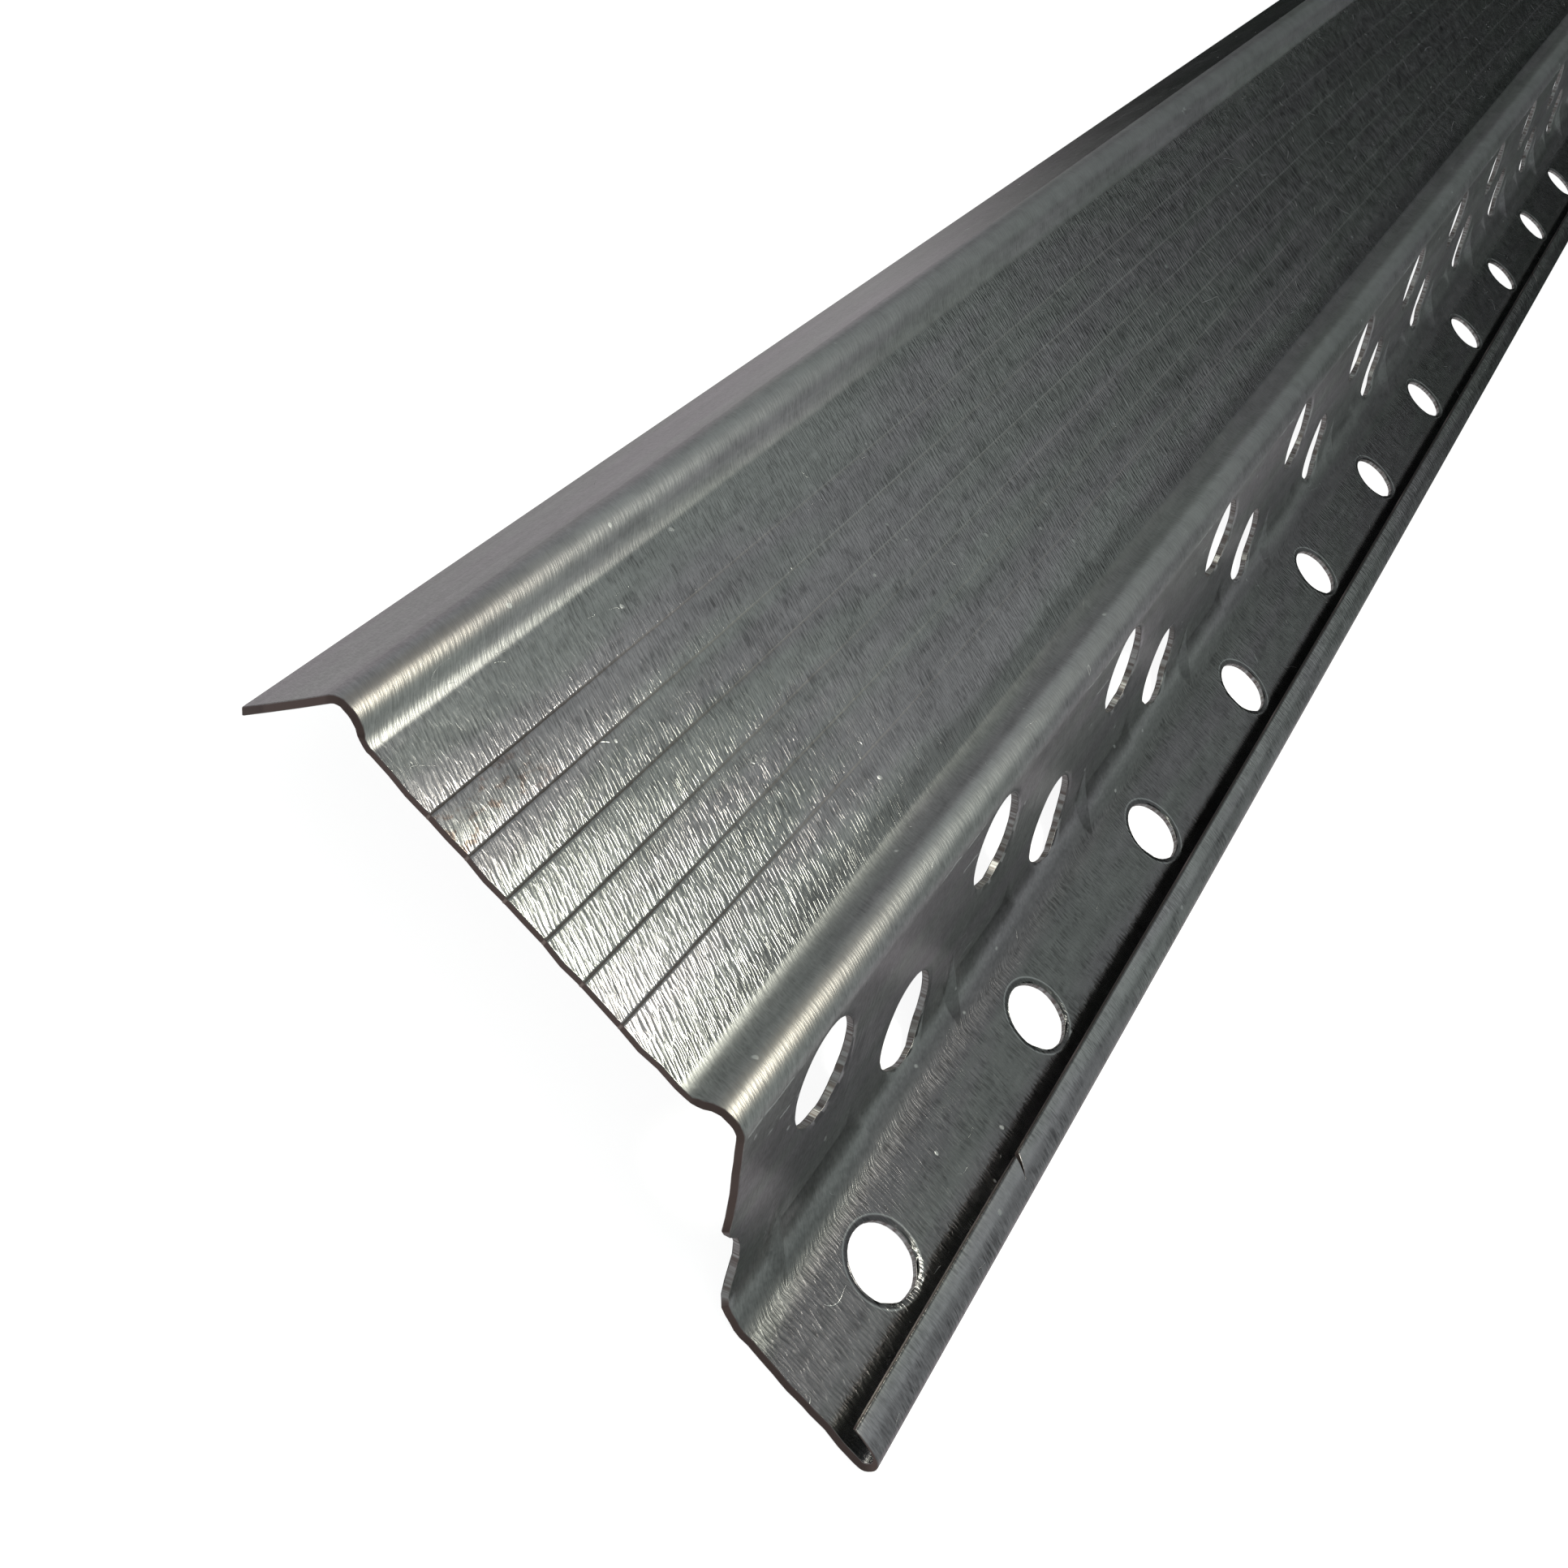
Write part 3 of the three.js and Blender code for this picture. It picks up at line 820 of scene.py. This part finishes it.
class ZincSkin:
    """The galvanised finish, with some painted shade and highlight, worked out one feature at a time.

    Lengths are in millimetres on the flat strip: x along the bar, and s across it from the hem's
    free edge. Each feature is a mask from 0 to 1, or a noise about a half.
    """

    def __init__(self, shader, strip):
        self.shader, self.strip = shader, strip
        flat = shader.node("ShaderNodeUVMap", {"uv_map": "flat_strip"}).outputs[0]
        parts = shader.node("ShaderNodeSeparateXYZ", Vector=flat)
        self.x = Value(shader, parts.outputs["X"]) * (1 / MM)
        self.s = Value(shader, parts.outputs["Y"]) * (1 / MM)
        self.from_end = self.x - BAR_LOW.x / MM
        self.sheared = shader.attribute("sheared_edge")
        self.punched = shader.attribute("punched_edge")
        self.start = {name: value / MM for name, value in strip.section.start.items()}
        self.stop = {name: value / MM for name, value in strip.section.stop.items()}
        self.find_zones()
        self.find_slow_changes()
        self.find_wrinkles()
        self.find_combs()
        self.find_grooves()
        self.find_hole_marks()
        self.find_scratches()

    def noise(self, length_x, length_s, seed, *quality):
        """Noise with blotches of the given lengths along and across the bar."""
        return self.shader.noise(self.shader.spot(self.x, self.s, length_x, length_s, seed), *quality)

    def find_zones(self):
        """Parts of the section with soft edges: some differ in finish, some only carry painted shade and
        highlight.
        """
        shader, s, start, stop = self.shader, self.s, self.start, self.stop
        between, step = shader.between, shader.step
        self.on_lip = step(s, start["lip_bead"] + 0.8, start["lip"] + 0.6)
        # The flange's zone only darkens its tone: painted shade over the whole flange.
        self.on_flange = between(s, start["flange"] + 0.5, start["foot"] + 1.0, 1.5)
        self.matt = between(s, start["foot"] - 0.5, stop["web"] + 0.6, 1.2)
        # Painted shade in the bend between the face and the hem side's bead.
        self.valley_shade = between(s, start["hem_rise"] + 0.4, stop["hem_side"] + 0.9, 1.0)
        self.on_beads = shader.most(between(s, start["hem_bead"], start["face"] - 0.3, 0.5),
                                    between(s, stop["face"] + 0.3, stop["lip_bead"], 0.5))
        # Painted highlight: a lighter band on the hem's domed edge, near its free edge.
        self.hem_highlight = between(s, 0.3, 0.9, 0.35)
        self.hem_edge = 1 - step(s, 0.1, 0.24)
        # Painted shade: the hem's dome and fold past that band are darkened.
        self.hem_outer_shade = between(s, 1.6, stop["hem_fold"], 0.6)
        on_web = between(s, start["foot"] + 1, stop["web"], 0.8)
        self.rippled = (1 - shader.most(on_web, self.on_lip) * 0.9) * (1 - self.on_beads * 0.45)
        self.near = 1 - step(self.from_end, 8, 34)

    def find_slow_changes(self):
        """Spangle, dull blotches, lengthwise roll marks and bands, and the drift of the zinc's tint."""
        self.spangle = self.noise(2.0, 1.4, 11, 3, 0.6)
        self.blotch = self.noise(13, 6, 13, 3)
        self.roll_marks = self.noise(70, 0.55, 17, 3, 0.6)
        self.bands = self.noise(150, 1.8, 18)
        self.cast = self.noise(34, 4, 19)
        self.grain = self.noise(0.4, 0.4, 8)

    def find_wrinkles(self):
        """Long narrow cells with raised rims. They run straight across the flange and lean above it."""
        shader = self.shader
        self.waver = self.noise(2.6, 2.6, 3) - 0.5
        above_foot = shader.most(self.s - self.start["foot"], 0)
        self.across = self.x - above_foot * 0.45 + self.waver * 0.3
        along = self.s + self.waver * 0.7
        spot = shader.spot(self.across, along, 0.26, 1.5)
        # Near the cut end tone() also lightens these rims: a painted highlight on top of the bump's real
        # glints.
        self.rim = 1 - shader.step(shader.cells(spot, "DISTANCE_TO_EDGE"), 0.02, 0.14)
        self.shade = shader.cells(spot, output="Color")
        self.hummock = shader.cells(spot)
        self.crackle = shader.noise(shader.spot(self.across, along, 0.16, 0.42, 7), 3, 0.55)

    def find_combs(self):
        """Short parallel dark strokes, gathered in patches and thicker near the cut end."""
        shader = self.shader
        stroke = shader.spot(self.across, self.s, 0.17, 1.2, 5)
        self.strokes = shader.step(shader.noise(stroke, 1.5), 0.46, 0.6)
        patches = shader.step(self.noise(4.0, 1.6, 9), 0.42, 0.58)
        self.combed = shader.most(patches, self.near * 0.6) * self.rippled

    def find_grooves(self):
        """Dirt and painted shade in the grooves near the cut end, a painted highlight line beside them
        further on, and first rust.
        """
        shader, count = self.shader, self.strip.grooves.count
        pitch = self.strip.grooves.pitch / MM
        order = (self.s - (self.strip.groove_centres()[0] / MM - pitch / 2)) / pitch
        on_grooves = shader.between(order, 0, count, 0.01)
        aside = (order % 1.0 - 0.5) * pitch
        ragged = (self.noise(0.7, 0.5, 41) - 0.5) * 0.1
        # Dirt and painted shade: the groove bottoms are painted near-black, most of all near the cut end.
        dirt_and_shade = on_grooves * (1 - shader.step(abs(aside) + ragged, 0.05, 0.12))
        self.dirt_and_shade = dirt_and_shade * (1 - shader.step(self.from_end, 8, 46) * 0.8)
        strongest = 1 - shader.step(abs(order - 4.0), 0.5, 2.4) * 0.7
        # Painted highlight: a thin pale line along one wall of each groove, from about 20 mm past the cut
        # end.
        painted_groove_highlight = on_grooves * (1 - shader.step(abs(aside - 0.06), 0.02, 0.07)) * strongest
        broken = shader.step(shader.noise(shader.spot(self.x, order, 30, 0.9, 43), 1), 0.3, 0.55)
        self.painted_groove_highlight = painted_groove_highlight * shader.step(self.from_end, 20, 60) * broken
        rust = shader.step(self.noise(1.1, 0.8, 53, 3, 0.6), 0.5, 0.64)
        self.rust = rust * shader.between(order, 4.6, 5.4, 0.15) * (1 - shader.step(self.from_end, 7, 14))

    def find_hole_marks(self):
        """Round the holes: painted shade and highlight rings, bright dashes over the pairs, brushed fans."""
        shader, strip, punching = self.shader, self.strip, self.strip.punching
        pitch = punching.pitch / MM
        aside = (self.x - strip.first_hole / MM + pitch / 2) % pitch - pitch / 2
        from_row = self.s - strip.flange_row / MM
        ring = (aside * aside + from_row * from_row).root() - punching.flange_hole / MM / 2
        # Painted shade on the dip round each flange hole, and a painted highlight just outside it.
        self.painted_ring_shade = shader.between(ring, 0.12, 0.3, 0.12)
        self.painted_ring_highlight = 1 - shader.step(abs(ring - 0.48), 0.03, 0.09)
        over_hole = self.s - (strip.upper_row + punching.web_hole / 2) / MM
        wavy = over_hole + self.waver * 0.6
        upper = shader.between(aside, -10, -4.5, 1.5) * self.thin_line(wavy - 0.3)
        lower = shader.between(aside, -7, -4, 1.0) * self.thin_line(wavy + 2.0)
        self.dash = shader.most(upper, lower) * shader.step(self.noise(1.6, 8, 59, 1), 0.42, 0.5)
        brushed = shader.step(shader.noise(shader.spot(self.across, self.s, 0.22, 3.5, 47), 2), 0.46, 0.62)
        beside = shader.between(aside, 4.2, 8.5, 1.2) * shader.between(over_hole, -9, -3, 2.5)
        self.fan = beside * brushed

    def thin_line(self, away):
        """1 within a few hundredths of a millimetre of a line, for the distance away from it."""
        return 1 - self.shader.step(abs(away), 0.04, 0.11)

    def find_scratches(self):
        """Hairlines are thin level lines of a slow noise, kept in places. With them: specks and dashes."""
        shader = self.shader
        drift = self.noise(9, 5, 23, 2, 0.4, 0.4)
        kept = shader.step(self.noise(3.5, 3.5, 29, 1), 0.6, 0.64)
        hair = (1 - shader.step(abs(drift - 0.52), 0.0, 0.0016)) * kept
        spot = shader.spot(self.x + self.waver, self.s - self.waver, 4, 4, 31)
        speck = 1 - shader.step(shader.cells(spot), 0.03, 0.06)
        self.mark = shader.most(shader.most(hair, speck), self.dash) * (1 - self.sheared)

    def bead_polish_and_sheen(self):
        """The tops of the two beads: the rolls' polish and a painted highlight, speckled near the cut end."""
        start, stop, between = self.start, self.stop, self.shader.between
        hem_top = stop["hem_bead"] - (stop["hem_bead"] - start["hem_bead"]) / 3
        lip_top = (start["lip_bead"] + stop["lip_bead"]) / 2 - 0.25
        tops = self.shader.most(between(self.s, hem_top - 0.35, hem_top + 0.35, 0.7),
                                between(self.s, lip_top - 0.35, lip_top + 0.35, 0.7))
        return tops * (0.6 + (self.spangle - 0.5) * 0.6 + (self.crackle - 0.5) * 0.9 * self.near)

    def tone(self):
        """How light the zinc is, about 1: the patterns add up, and the zones darken the sum.
        The hem's band and the wrinkle rims near the cut end are painted highlight; the valley, the flange,
        the hem's outer part and the rings round the flange holes are painted shade.
        """
        patterns = (0.95 + (self.shade - 0.5) * 0.22 * self.combed - self.strokes * self.combed * 0.28
                    + (self.crackle - 0.5) * 0.4 + (self.spangle - 0.5) * 0.42 + (self.blotch - 0.5) * 0.34
                    + (self.roll_marks - 0.5) * 0.2 + (self.bands - 0.5) * 0.4 + self.fan * 0.25
                    + self.rim * self.near * 0.12 + self.hem_highlight * 0.12 - self.hem_outer_shade * 0.26
                    + (self.grain - 0.5) * 0.5 * self.shader.most(self.matt, self.on_lip) - self.matt * 0.06)
        return (patterns * (1 - self.hem_edge * 0.7) * (1 - self.painted_ring_shade * 0.4) * (1 - self.valley_shade * 0.3)
                * (1 - self.on_flange * 0.38) * (1 - self.on_lip * 0.16))

    def colour(self, finish):
        """Toned zinc, then bead polish and painted highlight, marks, painted groove highlights, rust,
        dirt and painted shade in the grooves, and the bare cuts.
        """
        mix, step = self.shader.mix, self.shader.step
        base = self.shader.tint(mix(step(self.cast, 0.38, 0.62), finish.zinc, finish.mauve_zinc), self.tone())
        # Bead tops: polish and painted highlight, brown near the cut end.
        polish_and_sheen_colour = mix(self.near * 0.8, finish.wear_and_sheen_zinc, finish.brown_polish_and_sheen)
        base = mix(self.bead_polish_and_sheen() * 0.9, base, polish_and_sheen_colour)
        # Marks, and the painted highlight round the flange holes.
        base = mix(self.shader.most(self.mark * 0.85, self.painted_ring_highlight * 0.7), base, finish.wear_and_sheen_zinc)
        # Painted highlight along the grooves.
        base = mix(self.painted_groove_highlight * 0.7, base, finish.wear_and_sheen_zinc)
        base = mix(self.rust * 0.55, base, finish.rust)
        # The grooves' dirt and painted shade.
        base = mix(self.dirt_and_shade * 0.93, base, finish.dirt_and_shade)
        streaks = step(self.crackle, 0.36, 0.64)
        bare = mix(self.punched * (0.15 + streaks * 0.7), finish.cut_steel, finish.wear_and_sheen_zinc)
        return mix(self.sheared, base, bare)

    def roughness(self):
        """Smooth zinc, a little duller in blotches, and duller still on the web, beads, marks and the dark
        groove bottoms.
        """
        return (0.125 + self.blotch * 0.07 + self.spangle * 0.06 + self.dirt_and_shade * 0.3 + self.sheared * 0.2
                + self.mark * 0.2 + self.shader.most(self.matt * 0.13, self.on_beads * 0.2))

    def height(self):
        """Height of the skin in millimetres: wrinkles where it is rippled, and the slower patterns."""
        wrinkles = self.hummock * 0.015 + self.crackle * 0.005 + self.rim * 0.004
        return (wrinkles * self.rippled + self.spangle * 0.004 + self.blotch * 0.01
                + self.roll_marks * 0.003 + self.mark * 0.01 + self.dash * 0.01 - self.dirt_and_shade * 0.01)


def galvanised_steel(finish, strip):
    """Wrinkled zinc that glints, with dull and worn patches, painted shade and highlights, dirt in the
    grooves and bare cuts.
    """
    material = bpy.data.materials.new("galvanised_steel")
    shader = Shader(material)
    zinc = ZincSkin(shader, strip)
    bump = shader.node("ShaderNodeBump", Strength=1.0, Distance=MM, Height=zinc.height())
    surface = shader.node("ShaderNodeBsdfPrincipled", Base_Color=zinc.colour(finish),
                          Metallic=1.0 - zinc.dirt_and_shade * 0.8, Roughness=zinc.roughness(),
                          Normal=bump.outputs[0])
    shader.node("ShaderNodeOutputMaterial", Surface=surface.outputs[0])
    return material


# ---------------------------------------------------------------- studio


FLOOR_REACH = 6.0              # half the width of the floor
FLOOR_GAP = 0.02 * MM          # between the floor and the flange
SIDE_PATCH = (math.radians(32), math.radians(-50))  # elevation and azimuth of the light on the hem's side
SIDE_PATCH_EDGE = (0.84, 0.98)                      # cosines of the angles where the patch starts and is full
FAR_END_EDGE = (0.84, 0.93)                         # and where the dark far end starts and is full
FAR_END_DARK = 0.99


def direction(elevation, azimuth):
    """The unit vector that points up by the elevation and round from +X by the azimuth."""
    level = math.cos(elevation)
    return Vector((level * math.cos(azimuth), level * math.sin(azimuth), math.sin(elevation)))


def studio_floor(studio):
    """A wide sheet of pale, almost even paper. It glows a little, so it stays white under dim light."""
    material = bpy.data.materials.new("studio_floor")
    shader = Shader(material)
    texture = shader.noise(shader.node("ShaderNodeTexCoord").outputs["Object"], 4)
    tint = shader.mix(texture * 0.08, studio.floor_colour, studio.floor_colour * 0.97)
    paper = shader.node("ShaderNodeBsdfPrincipled", Base_Color=tint, Roughness=0.85,
                        Emission_Color=(1.0, 1.0, 1.0, 1.0), Emission_Strength=studio.floor_glow)
    shader.node("ShaderNodeOutputMaterial", Surface=paper.outputs[0])
    mesh = bpy.data.meshes.new("floor")
    r = FLOOR_REACH
    mesh.from_pydata([(-r, -r, 0), (r, -r, 0), (r, r, 0), (-r, r, 0)], [], [(0, 1, 2, 3)])
    mesh.materials.append(material)
    floor = bpy.data.objects.new("floor", mesh)
    floor.location.z = BAR_LOW.z - FLOOR_GAP
    bpy.context.scene.collection.objects.link(floor)
    return floor


def studio_sky(studio):
    """An evenly lit grey room, warmer below, that is dark round the direction of the bar's far end.

    The dark part is round, and so is a softer patch of light on the hem's side: both depend on the
    cosine of the angle from their middle.
    """
    world = bpy.data.worlds.new("studio_sky")
    shader = Shader(world)
    sky = shader.node("ShaderNodeTexCoord").outputs["Generated"]
    split = shader.node("ShaderNodeSeparateXYZ", Vector=sky)
    along, side, height = (Value(shader, socket) for socket in split.outputs)
    aim = direction(*SIDE_PATCH)
    patch = shader.step(along * aim.x + side * aim.y + height * aim.z, *SIDE_PATCH_EDGE)
    colour = shader.mix(patch, studio.room_colour, studio.side_colour)
    colour = shader.mix(shader.step(height, 0.05, -0.25), colour, studio.low_colour)
    colour = shader.mix(shader.step(along, *FAR_END_EDGE) * FAR_END_DARK, colour, studio.far_colour)
    light = shader.node("ShaderNodeBackground", Color=colour, Strength=1.0)
    shader.node("ShaderNodeOutputWorld", Surface=light.outputs[0])
    bpy.context.scene.world = world


def studio_lamp(studio):
    """A small oval lamp aimed at the cut end, longest when level."""
    lamp = bpy.data.lights.new("key_lamp", "AREA")
    lamp.shape, lamp.energy, lamp.color = "ELLIPSE", studio.lamp_power, studio.lamp_colour
    lamp.size, lamp.size_y = studio.lamp_width, studio.lamp_depth
    holder = bpy.data.objects.new("key_lamp", lamp)
    away = direction(studio.lamp_elevation, studio.lamp_heading)
    holder.location = Vector((BAR_LOW.x, 0, BAR_HIGH.z)) + away * studio.lamp_distance
    holder.rotation_euler = away.to_track_quat("Z", "Y").to_euler()
    bpy.context.scene.collection.objects.link(holder)


def studio_camera(studio):
    """The camera close over the cut end, looking along the bar and down, rolled to one side."""
    heading, pitch, roll = studio.camera_heading, studio.camera_pitch, studio.camera_roll
    forward = direction(-pitch, heading)
    level_right = forward.cross(Vector((0, 0, 1))).normalized()
    level_up = level_right.cross(forward)
    right = level_right * math.cos(roll) + level_up * math.sin(roll)
    up = level_up * math.cos(roll) - level_right * math.sin(roll)
    camera = bpy.data.cameras.new("studio_camera")
    camera.lens = studio.camera_lens
    camera.clip_start, camera.clip_end = 0.005, 50
    holder = bpy.data.objects.new("studio_camera", camera)
    place = Vector((BAR_LOW.x - studio.camera_back, studio.camera_side, studio.camera_height))
    turn = Matrix((right, up, -forward)).transposed()
    holder.matrix_world = Matrix.Translation(place) @ turn.to_4x4()
    bpy.context.scene.collection.objects.link(holder)
    bpy.context.scene.camera = holder


# ---------------------------------------------------------------- operators


class RESILIENTBAR_OT_strip(bpy.types.Operator):
    """Form the punched, grooved and hemmed strip in place of the plain CAD one"""
    bl_idname = "resilientbar.strip"
    bl_label = "Form the Strip"

    def execute(self, context):
        scene = context.scene
        section = Section(scene.bar_section)
        flat = FlatStrip(section, scene.bar_section, scene.bar_grooves, scene.bar_punching)
        piece = mesh_object("formed_strip", *FormedStrip(flat).build())
        piece.data.materials.append(galvanised_steel(scene.bar_finish, flat))
        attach(piece, "root")
        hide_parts(BAR_NODE)
        return {"FINISHED"}


class RESILIENTBAR_OT_studio(bpy.types.Operator):
    """Lay the pale floor and set up the room's light, the lamp and the camera"""
    bl_idname = "resilientbar.studio"
    bl_label = "Set Up the Studio"

    def execute(self, context):
        studio = context.scene.bar_studio
        floor = studio_floor(studio)
        floor.visible_glossy = False
        studio_sky(studio)
        studio_lamp(studio)
        studio_camera(studio)
        context.scene.view_settings.view_transform = "Standard"
        return {"FINISHED"}


class RESILIENTBAR_PT_panel(bpy.types.Panel):
    """Lists the steps that make the bar and its studio"""
    bl_label = "Resilient Bar"
    bl_idname = "RESILIENTBAR_PT_panel"
    bl_space_type = "VIEW_3D"
    bl_region_type = "UI"
    bl_category = "Resilient Bar"

    def draw(self, context):
        for step in STEPS:
            self.layout.operator(step.bl_idname)


STEPS = (RESILIENTBAR_OT_studio, RESILIENTBAR_OT_strip)
CLASSES = (*SETTINGS.values(), *STEPS, RESILIENTBAR_PT_panel)


def register():
    for kind in CLASSES:
        bpy.utils.register_class(kind)
    for name, kind in SETTINGS.items():
        setattr(bpy.types.Scene, name, bpy.props.PointerProperty(type=kind))


def unregister():
    for name in SETTINGS:
        delattr(bpy.types.Scene, name)
    for kind in reversed(CLASSES):
        bpy.utils.unregister_class(kind)


def main():
    register()
    bpy.ops.resilientbar.studio()
    bpy.ops.resilientbar.strip()


if __name__ == "__main__":
    main()
